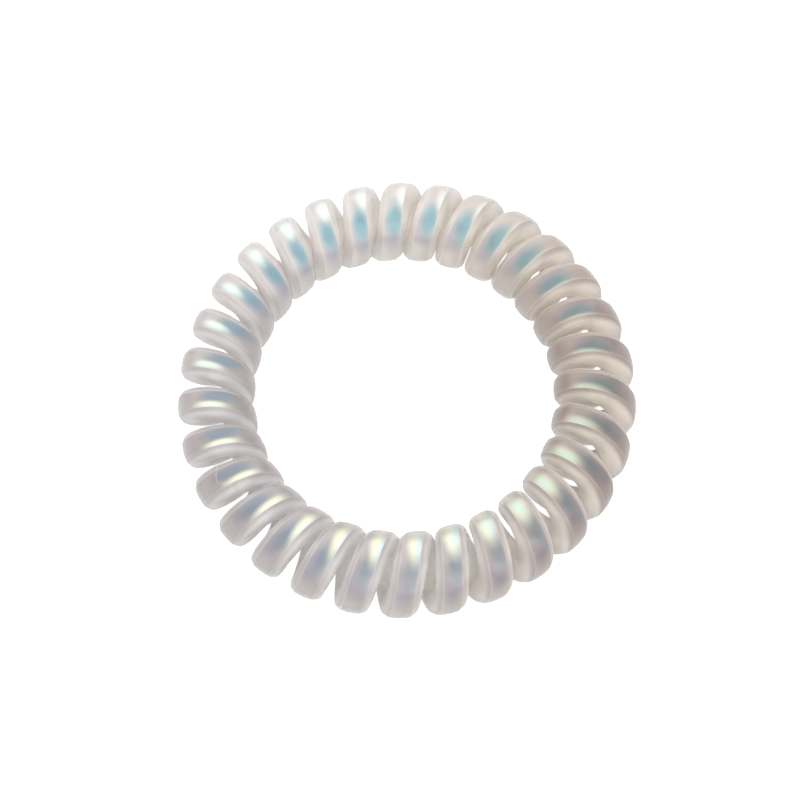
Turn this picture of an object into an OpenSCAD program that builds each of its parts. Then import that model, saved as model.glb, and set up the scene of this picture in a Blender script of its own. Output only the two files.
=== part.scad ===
// Spiral hair tie: one plastic cord wound as a coil, whose ends are joined so that the coil
// closes into a ring. It lies flat, with the ring's axis along +Z and its underside at z = 0.

/* [Loop] */
// Diameter of the ring along the middle of the coil
loop_d = 46.8; // [40:0.2:70]
// Share by which the relaxed ring is longer one way than the mean
loop_oval = 0.02; // [0:0.001:0.03]
// Direction of the ring's long way, in degrees from +X
loop_oval_dir = 98; // [0:1:180]

/* [Coil] */
// Outside diameter of the coil
coil_d = 9.8; // [9:0.05:13]
// Share by which the coil is fuller on its +X side
coil_swell = 0.028; // [0:0.001:0.04]
// Mean gap between neighbouring turns where they stand closest, on the inside of the ring
turn_gap = 0.22; // [0.2:0.02:1]
// Share by which the turns crowd together at the near and the far side of the ring
turn_crowd = 0.053; // [0:0.001:0.055]
// Where the first turn starts round the coil, in degrees
coil_start = 325; // [0:1:360]

/* [Cord] */
// Width of the cord, across its sides
cord_w = 3.9; // [2.8:0.05:4.2]
// Thickness of the cord, from its back to the crown of its face
cord_t = 3.15; // [2.4:0.05:3.4]
// Width of the face that looks out of the coil
face_w = 2.3; // [1.6:0.05:2.6]
// Height of the face's crown over the face's edges
face_crown = 0.13; // [0.01:0.01:0.3]
// Drop from the face's edges to the shoulders
shoulder_drop = 0.47; // [0.3:0.01:0.6]
// Inset of the shoulders from the sides
shoulder_inset = 0.15; // [0.05:0.05:0.2]
// Drop from the shoulders to the sides' upper edges
side_drop = 0.6; // [0.3:0.05:0.8]
// Inset of the back's edges from the sides
back_inset = 0.35; // [0.1:0.05:1]
// Height of the sides' lower edges over the back
back_rise = 0.9; // [0.5:0.05:1.2]
// Share by which the cord is squeezed narrower inside the ring, and spread outside it
cord_squeeze = 0.03; // [0:0.005:0.05]

/* [Hidden] */

// Rings of the sweep in one turn of the coil
rings_per_turn = 18;

// Columns of the tables of slow waves round the ring: how many waves there are, the share by
// which the size or the crowding rises at a crest, and the direction of a crest
WAVES = 0;
SHARE = 1;
CREST = 2;
LOOP_WAVES = [
    [2, loop_oval, loop_oval_dir],
    [3, 0.005, -14]
];
COIL_WAVES = [
    [1, coil_swell, 0],
    [2, 0.021, 65]
];
WIDTH_WAVES = [
    [1, 0.01, 135],
    [2, 0.025, 55]
];
CROWD_WAVES = [
    [1, 0.004, 109],
    [2, turn_crowd, 93],
    [3, 0.007, 13]
];

// The cord's outline has its back at depth 0 and its crown at depth cord_t. It is given from the
// face's edge round one shoulder to the back, as half width and depth, and the other half mirrors it
face_depth = cord_t - face_crown;
shoulder_depth = face_depth - shoulder_drop;
side_depth = shoulder_depth - side_drop;
CORD_HALF = [
    [face_w/2, face_depth],
    [cord_w/2 - shoulder_inset, shoulder_depth],
    [cord_w/2, side_depth],
    [cord_w/2, back_rise],
    [cord_w/2 - back_inset, 0]
];
half_points = len(CORD_HALF);
CORD = concat(
    [[0, cord_t]],
    CORD_HALF,
    [for (i = [half_points - 1:-1:0]) [-CORD_HALF[i][0], CORD_HALF[i][1]]]
);
sides = len(CORD);

// Radius of the helix along the cord's back
back_r = coil_d/2 - cord_t;
// Turns that fit where the sides stand closest, on the inside of the ring: the cord runs
// slantwise there, so it takes up its width over the cosine of its lead angle
closest_r = loop_d/2 - back_r - side_depth;
lead = atan((cord_w + turn_gap)/(PI*(coil_d - cord_t)));
inner_w = cord_w*(1 - cord_squeeze)/cos(lead);
turns = floor(2*PI*closest_r/(inner_w + turn_gap));
rings = turns*rings_per_turn;

// Sum of the slow waves at ring angle a
function wave(table, a) =
    let (parts = [for (w = table) w[SHARE]*cos(w[WAVES]*(a - w[CREST]))])
    parts*[for (w = table) 1];

// The same waves summed up from angle 0, in degrees, for what crowds together as it goes round
function wave_sum(table, a) =
    let (parts = [for (w = table) w[SHARE]/w[WAVES]*sin(w[WAVES]*(a - w[CREST]))])
    parts*[for (w = table) 1]*180/PI;

// How far round the coil the cord is at ring angle a, in degrees: 0 faces away from the ring's
// axis and 90 faces up
function coil_angle(a) = coil_start + turns*(a + wave_sum(CROWD_WAVES, a));

// Ring radius and outside radius of the coil at ring angle a
function loop_r(a) = loop_d/2*(1 + wave(LOOP_WAVES, a));
function coil_r(a) = coil_d/2*(1 + wave(COIL_WAVES, a));

// Direction out of the coil at ring angle a
function outward(a) =
    let (c = coil_angle(a))
    [cos(c)*cos(a), cos(c)*sin(a), sin(c)];

// Point on the cord's back at ring angle a. Every turn touches the table, so the coil's middle
// lies as high as the coil is thick there
function back_point(a) =
    [loop_r(a)*cos(a), loop_r(a)*sin(a), coil_r(a)] + (coil_r(a) - cord_t)*outward(a);

function unit(v) = v/norm(v);

// The cord's outline at ring number i: depth runs out of the coil, square to the cord, and width
// runs across the cord
function ring(i) =
    let (
        step = 360/rings,
        a = i*step,
        along = unit(back_point(a + step) - back_point(a - step)),
        out = unit(outward(a) - (outward(a)*along)*along),
        across = cross(out, along),
        spread = 1 + cord_squeeze*cos(coil_angle(a)) + wave(WIDTH_WAVES, a)
    )
    [for (p = CORD) back_point(a) + spread*p[0]*across + p[1]*out];

module coil() {
    points = [for (i = [0:rings - 1]) each ring(i)];
    faces = [
        for (i = [0:rings - 1], j = [0:sides - 1])
            let (
                here = i*sides,
                next = ((i + 1) % rings)*sides,
                k = (j + 1) % sides
            )
            each [
                [here + j, next + k, next + j],
                [here + j, here + k, next + k]
            ]
    ];
    color([0.82, 0.82, 0.81]) polyhedron(points, faces);
}

coil();
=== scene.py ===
"""Looks of the spiral hair tie: one pearly translucent cord wound as a coil that closes into a ring.

All lengths are in metres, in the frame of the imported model: the ring lies on z = 0 round the origin. Two
numbers say where a point lies on the cord. Its phase is how far round the coil it is, in degrees: 0 faces
away from the ring's axis and 90 faces up. Its run is how far it lies from the middle of the cord's face
along the cord's outline, in half face widths, negative on the left.
"""
import math

import bpy
import numpy as np
from mathutils import Matrix, Vector


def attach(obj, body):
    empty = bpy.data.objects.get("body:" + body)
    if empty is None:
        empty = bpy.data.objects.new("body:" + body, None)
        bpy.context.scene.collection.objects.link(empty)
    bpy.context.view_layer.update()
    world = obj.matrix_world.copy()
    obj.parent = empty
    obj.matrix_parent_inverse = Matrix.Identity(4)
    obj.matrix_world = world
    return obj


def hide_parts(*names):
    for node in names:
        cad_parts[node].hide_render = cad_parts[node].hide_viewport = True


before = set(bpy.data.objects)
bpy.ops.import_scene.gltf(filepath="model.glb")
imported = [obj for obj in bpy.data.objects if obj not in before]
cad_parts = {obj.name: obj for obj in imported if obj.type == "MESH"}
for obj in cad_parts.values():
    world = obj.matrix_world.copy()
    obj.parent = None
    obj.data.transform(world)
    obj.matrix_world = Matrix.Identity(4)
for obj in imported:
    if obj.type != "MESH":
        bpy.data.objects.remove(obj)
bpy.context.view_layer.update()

MM = 0.001
PICTURE = 800

# The ring and the coil
LOOP_D = 46.8 * MM
COIL_D = 9.8 * MM
TURNS = 30
COIL_START = math.radians(325)
RINGS_PER_TURN = 60

# The cord's section: widths across the cord, heights over its back, and drops from what lies above
CORD_W = 3.9 * MM
CORD_T = 3.15 * MM
FACE_W = 2.3 * MM
FACE_CROWN = 0.13 * MM
SHOULDER_DROP = 0.47 * MM
SHOULDER_INSET = 0.15 * MM
SIDE_DROP = 0.6 * MM
BACK_INSET = 0.35 * MM
BACK_RISE = 0.9 * MM
CORD_SQUEEZE = 0.03

# The weld, where the cord's ends are joined: up to a slanting edge across one turn's face the cord is a
# little fuller, and more so in a flap along the left shoulder. Its turn, the phases where the fuller part
# begins and where its edge is, how far the edge slants back on the left, and how much fuller it is
WELD_TURN = 18
WELD_FROM = -75
WELD_RISE = 45
WELD_EDGE = 62
WELD_STEP = 1.5
WELD_SLANT = 26
WELD_SWELL = 0.08 * MM
WELD_FLAP = 0.13 * MM
# The sweep's rings are this many degrees of phase apart across the weld's edge and this far past its ends
WELD_RING_STEP = 0.75
WELD_RING_MARGIN = (4, 6)

# Tables of slow waves round the ring. A row has how many waves there are, the share by which the value
# rises at a crest, and the ring angle of a crest in degrees. A row with no waves is the mean
LOOP_WAVES = [(2, 0.02, 98), (3, 0.005, -14)]
COIL_WAVES = [(1, 0.028, 0), (2, 0.021, 65)]
WIDTH_WAVES = [(1, 0.01, 135), (2, 0.025, 55)]
CROWD_WAVES = [(1, 0.004, 109), (2, 0.053, 93), (3, 0.007, 13)]

# Patches on the face of each turn, painted pearly reflections: a teal one with a violet edge, and a painted
# highlight. Each has the phase and the run of its middle, and how far it reaches from there. The taper is
# the share by which a patch is broader at its later end and narrower at its earlier one
TEAL = {
    "phase": [(0, 94.5, 0), (1, 25, 103)],
    "run": [(0, 0.16, 0), (1, 0.24, 82), (2, 0.21, 12)],
    "phase_reach": [(0, 42, 0)],
    "run_reach": [(0, 1.35, 0), (1, 0.25, 70)],
    "taper": [],
}
VIOLET = {
    "phase": [(0, 94.5, 0), (1, 46, 103)],
    "run": [(0, 0.15, 0), (1, -0.5, 31)],
    "phase_reach": [(0, 42, 0)],
    "run_reach": [(0, 1.5, 0)],
    "taper": [],
}
HIGHLIGHT_PATCH = {
    "phase": [(0, 95, 0), (1, 20, -77)],
    "run": [(0, 0.2, 0), (1, 1.05, 31)],
    "phase_reach": [(0, 39, 0), (1, 6, -60)],
    "run_reach": [(0, 0.95, 0), (1, 0.3, -70), (2, 0.3, 110)],
    "taper": [(1, 0.45, -77)],
}
# Creamy glints low on the right side of the near turns, where light comes through the cord
GLINT = {
    "phase": [(0, -20, 0), (1, 60, 30)],
    "run": [(0, 3.4, 0), (1, 0.9, 210)],
    "phase_reach": [(0, 24, 0)],
    "run_reach": [(0, 0.9, 0)],
    "taper": [],
}
# How strong the glint is, from 0 up
GLINT_WAVES = [(0, -0.2, 0), (1, 1.2, 302)]

# What drifts round the ring, from 0 to 1: how warm the plastic looks, how bright and how yellow the
# painted highlight is, how much the painted highlight splits into a yellow and a cyan streak, how strong
# the painted teal reflection is, and how far the teal turns to slate blue
DRIFTS = {
    "warm": [(0, 0.5, 0), (1, 0.5, 20)],
    "shine": [(0, 0.76, 0), (1, 0.24, 215)],
    "yellow": [(0, 0.5, 0), (1, 0.5, 320)],
    "streak": [(0, 0.1, 0), (1, 0.9, 225)],
    "strong": [(0, 0.79, 0), (1, 0.16, 95)],
    "slate": [(0, 0.5, 0), (1, 0.5, 255)],
}
# Painted light and shade on the face: how light it is painted round the ring, and how much painted shade
# darkens it where it looks outwards, most at this phase
FACE_LIGHT_WAVES = [(0, 0.47, 0), (1, 0.36, 108), (2, 0.28, 91)]
OUTER_SHADE_WAVES = [(0, 0.12, 0), (1, 0.16, 60)]
OUTER_SHADE_PHASE = 15
# Painted shade on the right and the left side, and how much more painted shade at the turn's low end,
# most at this phase
SIDE_SHADE_RIGHT_WAVES = [(0, 0.1, 0), (1, 0.14, 165), (2, 0.06, 5)]
SIDE_SHADE_LEFT_WAVES = [(0, 0.03, 0), (1, 0.03, 0)]
LOW_END_SHADE_WAVES = [(0, 0.35, 0), (1, 0.2, 270)]
LOW_END_SHADE_PHASE = -10
# The run to which the face's tone carries over onto the right and the left side. The face's tone is darker
# than the sides' as painted shade on the brightly lit face, and the sides are paler as painted light in the
# shaded crevices between turns
EDGE_RIGHT_WAVES = [(0, 1.25, 0), (1, 0.2, 150)]
EDGE_LEFT_WAVES = [(0, 1.05, 0), (1, 0.15, 100)]

# Spans of a fade, from where it is 0 to where it is 1: where the face ends, from a patch's rim to its core,
# from the painted highlight's core to its rim, across its streaks, and past the runs given above from the
# face's tone to the side's. The coat thins and the lean of the face dies out towards the back
FACE_SPAN = (1.04, 0.94)
PATCH_SPAN = (1.0, 0.2)
RIM_SPAN = (0.2, 0.6)
STREAK_SPAN = (0.2, -0.5)
TONE_SPAN = (0.0, 0.95)
COAT_SPAN = (1.3, 2.0)
LEAN_SPAN = (4.0, 2.0)
# Fine ridges along the face's edge and along the shoulder, each a run and how far it reaches. Bump mapping
# raises them, and a painted highlight lightens them
FACE_RIDGE = (1.0, 0.17)
SHOULDER_RIDGE = (1.68, 0.2)

# Relief in millimetres, which bump mapping gives: the face reflects as a shallow hollow that leans a
# little, so its edges stand up by the one, and one up and the other down by the other
HOLLOW = 0.24
LEAN = -0.046
RIDGE_RELIEF = 0.012
WELD_RELIEF = 0.012
GRAIN_RELIEF = 0.003
GRAIN_SCALE = 5200

# Colours, linear
# The face's tone under painted light and under painted shade
FACE_PAINTED_LIGHT = (0.80, 0.78, 0.775)
FACE_PAINTED_SHADE = (0.32, 0.28, 0.275)
FACE_WARM = (1.0, 0.93, 0.86)
SIDE_WARM = (1.0, 0.89, 0.78)
SIDE_COOL = (0.98, 0.965, 0.965)
# The sides' tone under painted shade
SIDE_PAINTED_SHADE = (0.60, 0.55, 0.53)
# Painted pearly reflections: teal, slate blue and violet
SHEEN_TEAL = (0.22, 0.57, 0.74)
SHEEN_SLATE = (0.26, 0.50, 0.74)
SHEEN_VIOLET = (0.58, 0.56, 0.84)
# Colours of the painted highlight
HIGHLIGHT_YELLOW = (0.98, 0.97, 0.64)
HIGHLIGHT_GREEN = (0.66, 1.0, 0.76)
HIGHLIGHT_MINT = (0.68, 0.98, 0.90)
HIGHLIGHT_CYAN = (0.56, 0.92, 1.0)
# Pale lines: a painted highlight on the ridges, and the weld's seam
RIDGE_HIGHLIGHT_AND_SEAM = (0.95, 0.93, 0.91)
GLINT_CREAM = (1.0, 0.95, 0.80)

# The floor: how grey its paper is, how much light the sheet that the camera sees and the one that lights
# the hair tie give off, and how far the second lies below the first
PAPER_GREY = 0.3
SEEN_RADIANCE = 0.92
LIT_RADIANCE = 0.75
SHEET_HALF = 2.0
SHEET_GAP = 0.02 * MM

# The photo's view: height over the floor and roll, how far the lens is from the point that it looks
# at, and the lens's focal length in the picture's pixels
VIEW_HEIGHT = math.radians(64.34)
VIEW_ROLL = math.radians(-4.2)
VIEW_TARGET = (-0.58 * MM, -1.46 * MM, 4.9 * MM)
VIEW_DISTANCE = 180.1 * MM
FOCAL_PIXELS = 1485


def wave(table, angle):
    """Sum of share * cos(waves * (angle - crest)) over the table's rows."""
    return sum(share * np.cos(count * (angle - math.radians(crest))) for count, share, crest in table)


def wave_sum(table, angle):
    """The same waves summed up from angle 0, for what crowds together as it goes round."""
    return sum(share / count * np.sin(count * (angle - math.radians(crest))) for count, share, crest in table)


def unit(vectors):
    """Each row of an array of vectors at length 1."""
    return vectors / np.linalg.norm(vectors, axis=-1, keepdims=True)


def ramp(value, start, end):
    """0 up to start, 1 from end on, and straight between; start may be the larger."""
    return np.clip((value - start) / (end - start), 0, 1)


def coil_angle(angle):
    """The phase at a ring angle in radians, counted on from turn to turn."""
    return COIL_START + TURNS * (angle + wave_sum(CROWD_WAVES, angle))


def outward(angle):
    """Direction out of the coil at a ring angle."""
    turn = coil_angle(angle)
    return np.stack([np.cos(turn) * np.cos(angle), np.cos(turn) * np.sin(angle), np.sin(turn)], -1)


def back_point(angle):
    """Point on the cord's back at a ring angle: out from the coil's middle by the coil's radius less the
    cord's thickness. The middle lies as high as the coil is thick there."""
    loop_r = LOOP_D / 2 * (1 + wave(LOOP_WAVES, angle))
    coil_r = COIL_D / 2 * (1 + wave(COIL_WAVES, angle))
    middle = np.stack([loop_r * np.cos(angle), loop_r * np.sin(angle), coil_r], -1)
    return middle + (coil_r - CORD_T)[:, None] * outward(angle)


def bend(corner, before, after, reach, steps):
    """Points round a corner: a quadratic curve from reach before it to reach after it."""
    start = corner + reach * unit(before - corner)
    end = corner + reach * unit(after - corner)
    t = np.linspace(0, 1, steps)[:, None]
    return (1 - t) ** 2 * start + 2 * t * (1 - t) * corner + t ** 2 * end


def cord_outline():
    """Closed outline of the cord as (width, height) rows, and the run of each row.

    The face is a shallow crown: height = thickness - crown * (width / half face width) ** 2."""
    face_edge = np.array([FACE_W / 2, CORD_T - FACE_CROWN])
    shoulder = np.array([CORD_W / 2 - SHOULDER_INSET, face_edge[1] - SHOULDER_DROP])
    side_top = np.array([CORD_W / 2, shoulder[1] - SIDE_DROP])
    side_foot = np.array([CORD_W / 2, BACK_RISE])
    back_edge = np.array([CORD_W / 2 - BACK_INSET, 0])
    back = np.array([0, 0])
    across_face = np.linspace(0, 0.93, 7)
    face = np.stack([across_face * FACE_W / 2, CORD_T - FACE_CROWN * across_face**2], -1)
    half = np.concatenate([
        face,
        bend(face_edge, face[-1], shoulder, 0.07 * MM, 3),
        bend(shoulder, face_edge, side_top, 0.2 * MM, 4),
        bend(side_top, shoulder, side_foot, 0.3 * MM, 4),
        bend(side_foot, side_top, back_edge, 0.5 * MM, 4),
        bend(back_edge, side_foot, back, 0.4 * MM, 4),
        [back],
    ])
    run = np.concatenate([[0], np.cumsum(np.linalg.norm(np.diff(half, axis=0), axis=1))]) / (FACE_W / 2)
    left = half[-2:0:-1] * (-1, 1)
    return np.concatenate([half, left]), np.concatenate([run, -run[-2:0:-1]])


def weld_phase(angle, run):
    """How far past the weld's edge each point is round the coil, in degrees."""
    phase = np.degrees(coil_angle(angle)) - 360 * WELD_TURN
    return phase[:, None] - WELD_EDGE - WELD_SLANT * ramp(-run, 0.2, 1.3)


def weld_swell(angle, run):
    """How much fuller the cord is at each point because of the weld. The flap lies on the left, from the
    face's edge to the side, and over the last 50 degrees before the weld's edge."""
    past = weld_phase(angle, run)
    start = WELD_FROM - WELD_EDGE
    fuller = ramp(past, start, start + WELD_RISE) * ramp(past, WELD_STEP, 0)
    flap = ramp(-run, 1.0, 1.4) * ramp(-run, 2.6, 2.0) * ramp(past, -50, -20)
    return fuller * (WELD_SWELL + WELD_FLAP * flap)


def ring_angles():
    """Ring angles of the sweep's rings: even steps, and finer ones across the weld's edge."""
    angle = np.arange(TURNS * RINGS_PER_TURN) * 2 * math.pi / (TURNS * RINGS_PER_TURN)
    phase = np.degrees(coil_angle(angle)) - 360 * WELD_TURN
    before, after = WELD_RING_MARGIN
    fine_phase = np.arange(WELD_EDGE - before, WELD_EDGE + WELD_SLANT + after, WELD_RING_STEP)
    return np.unique(np.concatenate([angle, np.interp(fine_phase, phase, angle)]))


def coil_surface():
    """The cord's outline carried along the coil: a grid of points, rings by outline points, with the ring
    angle of each ring and the run of each outline point.

    point = back point + spread * width * across + depth * out, where out is the direction out of the coil
    made square to the cord, and across = out x along. At the weld each point of the outline moves away
    from the outline's middle.
    """
    step = 2 * math.pi / (TURNS * RINGS_PER_TURN)
    angle = ring_angles()
    along = unit(back_point(angle + step) - back_point(angle - step))
    out = outward(angle)
    out = unit(out - (out * along).sum(-1, keepdims=True) * along)
    across = np.cross(out, along)
    outline, run = cord_outline()
    spread = 1 + CORD_SQUEEZE * np.cos(coil_angle(angle)) + wave(WIDTH_WAVES, angle)
    middle_out = unit(outline - (0, CORD_T / 2))
    swell = weld_swell(angle, run)
    width = spread[:, None] * outline[:, 0] + swell * middle_out[:, 0]
    depth = outline[:, 1] + swell * middle_out[:, 1]
    points = (
        back_point(angle)[:, None]
        + width[..., None] * across[:, None]
        + depth[..., None] * out[:, None]
    )
    return points, angle, run


def grid_mesh(name, points):
    """Mesh of a grid of points that is closed both ways, with its faces outwards."""
    rows, columns = points.shape[:2]
    here = np.arange(rows)[:, None] * columns + np.arange(columns)
    right = np.roll(here, -1, 1)
    up = np.roll(here, -1, 0)
    corner = np.roll(up, -1, 1)
    faces = np.stack([here, up, corner, right], -1).reshape(-1, 4)
    mesh = bpy.data.meshes.new(name)
    mesh.vertices.add(rows * columns)
    mesh.vertices.foreach_set("co", points.reshape(-1).astype(np.float32))
    mesh.loops.add(faces.size)
    mesh.loops.foreach_set("vertex_index", faces.reshape(-1).astype(np.int32))
    mesh.polygons.add(len(faces))
    mesh.polygons.foreach_set("loop_start", np.arange(len(faces), dtype=np.int32) * 4)
    mesh.polygons.foreach_set("use_smooth", np.ones(len(faces), bool))
    mesh.update(calc_edges=True)
    mesh.validate()
    return mesh


def point_attribute(mesh, name, values, shape):
    """Puts one number per point on the mesh, from values that fill the grid of points."""
    data = mesh.attributes.new(name, "FLOAT", "POINT").data
    data.foreach_set("value", np.broadcast_to(values, shape).astype(np.float32).reshape(-1))


def patch_distance(patch, angle, run):
    """How far each point lies from a patch's middle, in reaches: 0 in the middle, 1 at its rim, 2 at most."""
    phase = np.degrees(coil_angle(angle)) - wave(patch["phase"], angle)
    phase = ((phase + 180) % 360 - 180) / wave(patch["phase_reach"], angle)
    broad = 1 + wave(patch["taper"], angle) * np.clip(phase, -1, 1)
    across = (run - wave(patch["run"], angle)[:, None]) / (wave(patch["run_reach"], angle) * broad)[:, None]
    return np.minimum(np.hypot(phase[:, None], across), 2)


def facing(angle, phase):
    """How nearly the cord faces a phase at each ring angle: the cosine of what lies between, from 0 up."""
    return np.maximum(np.cos(coil_angle(angle) - math.radians(phase)), 0)


def cord_looks(angle, run):
    """What the plastic looks like at each point, with its painted light, shade, highlight and reflections, by
    name: arrays that fill the grid of points.
    """
    def by_side(right, left):
        return np.where(run > 0, wave(right, angle)[:, None], wave(left, angle)[:, None])

    off = np.abs(run)
    # Painted shade where the face looks outwards
    outer_shade = facing(angle, OUTER_SHADE_PHASE) * wave(OUTER_SHADE_WAVES, angle)
    # Painted shade on the sides at the turn's low end
    low_end_shade = facing(angle, LOW_END_SHADE_PHASE) * wave(LOW_END_SHADE_WAVES, angle)
    glint = ramp(patch_distance(GLINT, angle, run), 1, 0)
    looks = {
        "off": off,
        "lean": np.clip(run, -1, 1) * ramp(off, *LEAN_SPAN),
        "teal": patch_distance(TEAL, angle, run),
        "violet": patch_distance(VIOLET, angle, run),
        "highlight": patch_distance(HIGHLIGHT_PATCH, angle, run),
        "highlight_run": run - wave(HIGHLIGHT_PATCH["run"], angle)[:, None],
        "glint": glint * np.clip(wave(GLINT_WAVES, angle), 0, 1)[:, None],
        "face_light": (wave(FACE_LIGHT_WAVES, angle) - outer_shade)[:, None],
        "side_shade": np.clip(by_side(SIDE_SHADE_RIGHT_WAVES, SIDE_SHADE_LEFT_WAVES) + low_end_shade[:, None], 0, 1),
        "edge": by_side(EDGE_RIGHT_WAVES, EDGE_LEFT_WAVES),
        "weld": np.exp(-(weld_phase(angle, run) / 1.1) ** 2) * ramp(off, 2.6, 1.8),
    }
    looks.update({name: np.clip(wave(table, angle), 0, 1)[:, None] for name, table in DRIFTS.items()})
    return looks


def pearl_cord():
    """The coiled cord, with what its plastic looks like at each point."""
    points, angle, run = coil_surface()
    mesh = grid_mesh("pearl_cord", points)
    for name, values in cord_looks(angle, run).items():
        point_attribute(mesh, name, values, points.shape[:2])
    piece = bpy.data.objects.new("pearl_cord", mesh)
    bpy.context.scene.collection.objects.link(piece)
    return piece


class Signal:
    """A number or a colour that changes over a surface: a node socket. Arithmetic on it adds Math nodes."""

    def __init__(self, recipe, socket):
        self.recipe = recipe
        self.socket = socket

    def __add__(self, other):
        return self.recipe.math("ADD", self, other)

    def __sub__(self, other):
        return self.recipe.math("SUBTRACT", self, other)

    def __mul__(self, other):
        return self.recipe.math("MULTIPLY", self, other)

    def __radd__(self, other):
        return self.recipe.math("ADD", other, self)

    def __rsub__(self, other):
        return self.recipe.math("SUBTRACT", other, self)

    def __rmul__(self, other):
        return self.recipe.math("MULTIPLY", other, self)

    def __abs__(self):
        return self.recipe.math("ABSOLUTE", self)


class Recipe:
    """The nodes of one material."""

    def __init__(self, name):
        self.material = bpy.data.materials.new(name)
        self.material.use_nodes = True
        self.tree = self.material.node_tree
        self.tree.nodes.clear()

    def node(self, kind, settings=None, inputs=None, output=0):
        """Adds a node of a kind, sets its settings and then its sockets, and gives one of its outputs."""
        node = self.tree.nodes.new(kind)
        for name, value in (settings or {}).items():
            setattr(node, name, value)
        for name, value in (inputs or {}).items():
            if isinstance(value, Signal):
                self.tree.links.new(value.socket, node.inputs[name])
            else:
                node.inputs[name].default_value = value
        return Signal(self, node.outputs[output])

    def math(self, operation, *values):
        return self.node("ShaderNodeMath", {"operation": operation}, dict(enumerate(values)))

    def fade(self, value, start, end):
        """0 up to start and 1 from end on, with a smooth rise between; start may be the larger."""
        return self.node(
            "ShaderNodeMapRange",
            {"interpolation_type": "SMOOTHSTEP"},
            {"Value": value, "From Min": start, "From Max": end},
        )

    def bump_at(self, value, centre, reach):
        """1 where the value is at the centre, falling smoothly to 0 at reach from it."""
        return self.fade(abs(value - centre), reach, 0.0)

    def mix(self, share, first, second, blend="MIX"):
        """Mixes two colours, each a Signal or three numbers."""
        return self.node(
            "ShaderNodeMix",
            {"data_type": "RGBA", "blend_type": blend},
            {0: share, 6: self.colour(first), 7: self.colour(second)},
            output=2,
        )

    def colour(self, value):
        return value if isinstance(value, Signal) else (*value, 1)

    def attribute(self, name):
        return self.node("ShaderNodeAttribute", {"attribute_name": name}, output=2)

    def noise(self, scale, detail, roughness):
        place = self.node("ShaderNodeTexCoord", output=3)
        return self.node(
            "ShaderNodeTexNoise",
            None,
            {"Vector": place, "Scale": scale, "Detail": detail, "Roughness": roughness},
        )

    def finish(self, shader):
        out = self.tree.nodes.new("ShaderNodeOutputMaterial")
        self.tree.links.new(shader.socket, out.inputs["Surface"])
        return self.material


def highlight_colour(r, highlight):
    """Colour of the painted highlight: mint, or green with a yellow rim, or a yellow streak beside a cyan
    one.
    """
    yellow = r.attribute("yellow")
    core = r.mix(yellow, HIGHLIGHT_MINT, HIGHLIGHT_GREEN)
    rim = r.mix(yellow, HIGHLIGHT_MINT, HIGHLIGHT_YELLOW)
    patch = r.mix(r.fade(highlight, *RIM_SPAN), core, rim)
    streaks = r.mix(r.fade(r.attribute("highlight_run"), *STREAK_SPAN), HIGHLIGHT_YELLOW, HIGHLIGHT_CYAN)
    return r.mix(r.attribute("streak"), patch, streaks)


def pearl_plastic():
    """Frosted translucent plastic with painted pearly reflections on the cord's face: a painted highlight,
    and a teal one with a violet edge beside it, and with painted light and shade round the ring. The face
    reflects as a shallow hollow between two fine ridges."""
    r = Recipe("pearl_plastic")
    off = r.attribute("off")
    on_face = r.fade(off, *FACE_SPAN)
    warm = r.attribute("warm")
    highlight_distance = r.attribute("highlight")
    violet = r.fade(r.attribute("violet"), *PATCH_SPAN) * on_face
    teal = r.fade(r.attribute("teal"), *PATCH_SPAN) * on_face
    highlight = r.fade(highlight_distance, *PATCH_SPAN) * on_face * r.attribute("shine")
    glint = r.attribute("glint")
    weld = r.attribute("weld")
    ridge = r.math("MAXIMUM", r.bump_at(off, *FACE_RIDGE), r.bump_at(off, *SHOULDER_RIDGE) * 0.6)
    grain = r.noise(GRAIN_SCALE, 2.0, 0.6)

    # Painted light and shade on the face round the ring, tinted by the plastic's warmth
    base = r.mix(warm, r.mix(r.attribute("face_light"), FACE_PAINTED_SHADE, FACE_PAINTED_LIGHT), FACE_WARM, "MULTIPLY")
    # Painted pearly reflections: violet round a teal or slate core
    base = r.mix(violet * (1.0 - teal) * 0.6, base, SHEEN_VIOLET, "MULTIPLY")
    sheen = r.mix(r.attribute("slate"), SHEEN_TEAL, SHEEN_SLATE)
    base = r.mix(teal * r.attribute("strong"), base, sheen, "MULTIPLY")
    # Painted highlight
    base = r.mix(highlight * 0.85, base, highlight_colour(r, highlight_distance))
    # Painted shade on the sides, most at the turn's low end
    side = r.mix(r.attribute("side_shade"), r.mix(warm, SIDE_COOL, SIDE_WARM), SIDE_PAINTED_SHADE)
    # Past the edge run the face's tone gives way to the sides': painted shade on the face, painted light on
    # the sides
    base = r.mix(r.fade(off - r.attribute("edge"), *TONE_SPAN), base, side)
    # Pale lines: a painted highlight along the ridges, and the weld's seam
    base = r.mix(r.math("MAXIMUM", ridge * 0.18, weld * 0.22), base, RIDGE_HIGHLIGHT_AND_SEAM)
    base = r.mix(glint * 0.9, base, GLINT_CREAM)

    held = r.math("MINIMUM", off, 1.0)
    height = held * held * HOLLOW + r.attribute("lean") * LEAN
    height = height + ridge * RIDGE_RELIEF + weld * WELD_RELIEF + grain * GRAIN_RELIEF
    return r.finish(r.node("ShaderNodeBsdfPrincipled", None, {
        "Base Color": base,
        "Roughness": 0.34 + 0.04 * grain,
        "IOR": 1.4,
        "Transmission Weight": 0.55,
        # The painted highlight and the glints also reflect like metal
        "Metallic": highlight * 0.32 + glint * 0.15,
        "Coat Weight": 0.8 - 0.7 * r.fade(off, *COAT_SPAN),
        "Coat Roughness": 0.22,
        "Coat IOR": 1.6,
        "Subsurface Weight": 1.0,
        "Subsurface Radius": (1.0, 0.95, 0.9),
        "Subsurface Scale": 9.0 * MM,
        "Subsurface Anisotropy": 0.6,
        "Normal": r.node("ShaderNodeBump", None, {"Strength": 1.0, "Distance": MM, "Height": height}),
    }))


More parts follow.
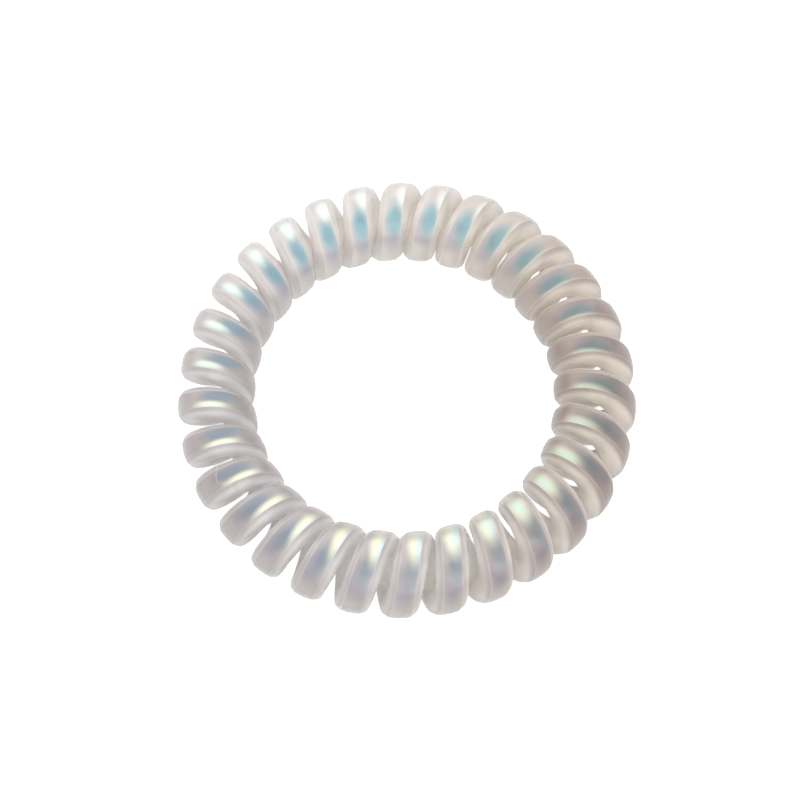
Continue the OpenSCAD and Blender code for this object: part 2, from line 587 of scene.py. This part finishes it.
def paper(name, radiance):
    """Plain paper that gives off some light of its own."""
    r = Recipe(name)
    return r.finish(r.node("ShaderNodeBsdfPrincipled", None, {
        "Base Color": (PAPER_GREY, PAPER_GREY, PAPER_GREY, 1), "Roughness": 0.9, "Specular IOR Level": 0.1,
        "Emission Color": (1, 1, 1, 1), "Emission Strength": radiance,
    }))


def sheet(name, height, material):
    """A wide flat sheet at a height."""
    half = SHEET_HALF
    mesh = bpy.data.meshes.new(name)
    mesh.from_pydata(
        [(-half, -half, height), (half, -half, height), (half, half, height), (-half, half, height)],
        [], [(0, 1, 2, 3)],
    )
    piece = bpy.data.objects.new(name, mesh)
    bpy.context.scene.collection.objects.link(piece)
    piece.data.materials.append(material)
    return piece


def floor():
    """The white floor that the camera sees, and in its place a greyer one that lights the hair tie, as the
    photo's background was cut out and made whiter than what the hair tie lay on."""
    seen = sheet("white_floor", 0.0, paper("white_paper", SEEN_RADIANCE))
    seen.visible_diffuse = False
    seen.visible_glossy = False
    seen.visible_transmission = False
    lit = sheet("grey_floor", -SHEET_GAP, paper("grey_paper", LIT_RADIANCE))
    lit.visible_camera = False
    lit.visible_shadow = False


def softbox(name, direction, distance, width, height, strength):
    """A soft light panel at a distance from the origin, facing it. The strength is its radiance."""
    away = Vector(direction).normalized()
    data = bpy.data.lights.new(name, "AREA")
    data.shape = "RECTANGLE"
    data.size = width
    data.size_y = height
    data.energy = strength * math.pi * width * height
    lamp = bpy.data.objects.new(name, data)
    lamp.location = away * distance
    lamp.rotation_euler = away.to_track_quat("Z", "Y").to_euler()
    bpy.context.scene.collection.objects.link(lamp)


def room_light(radiance):
    """Even light from all round, of a colour that is also its radiance."""
    world = bpy.data.worlds.new("room")
    world.use_nodes = True
    world.node_tree.nodes["Background"].inputs["Color"].default_value = (*radiance, 1)
    bpy.context.scene.world = world


def camera():
    """Photo's view: from the near side, 64 degrees above the floor, rolled a little."""
    back = Vector((0, -math.cos(VIEW_HEIGHT), math.sin(VIEW_HEIGHT)))
    right = Vector((1, 0, 0))
    up = back.cross(right)
    side = math.cos(VIEW_ROLL) * right + math.sin(VIEW_ROLL) * up
    top = math.cos(VIEW_ROLL) * up - math.sin(VIEW_ROLL) * right
    eye = Vector(VIEW_TARGET) + VIEW_DISTANCE * back
    data = bpy.data.cameras.new("camera")
    data.sensor_width = 36
    data.lens = data.sensor_width * FOCAL_PIXELS / PICTURE
    data.clip_start = 0.01
    data.clip_end = 20
    view = bpy.data.objects.new("camera", data)
    view.matrix_world = Matrix((
        (side.x, top.x, back.x, eye.x),
        (side.y, top.y, back.y, eye.y),
        (side.z, top.z, back.z, eye.z),
        (0, 0, 0, 1),
    ))
    bpy.context.scene.collection.objects.link(view)
    bpy.context.scene.camera = view


cord = pearl_cord()
cord.data.materials.append(pearl_plastic())
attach(cord, "root")
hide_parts("coil")

floor()
camera()
softbox("back_softbox", (-0.13, 0.74, 0.66), distance=0.4, width=0.9, height=0.5, strength=1.04)
softbox("front_softbox", (0.1, -0.8, 0.6), distance=0.5, width=0.7, height=0.4, strength=1.2)
room_light((1.07, 1.06, 1.05))
bpy.context.scene.view_settings.view_transform = "Standard"
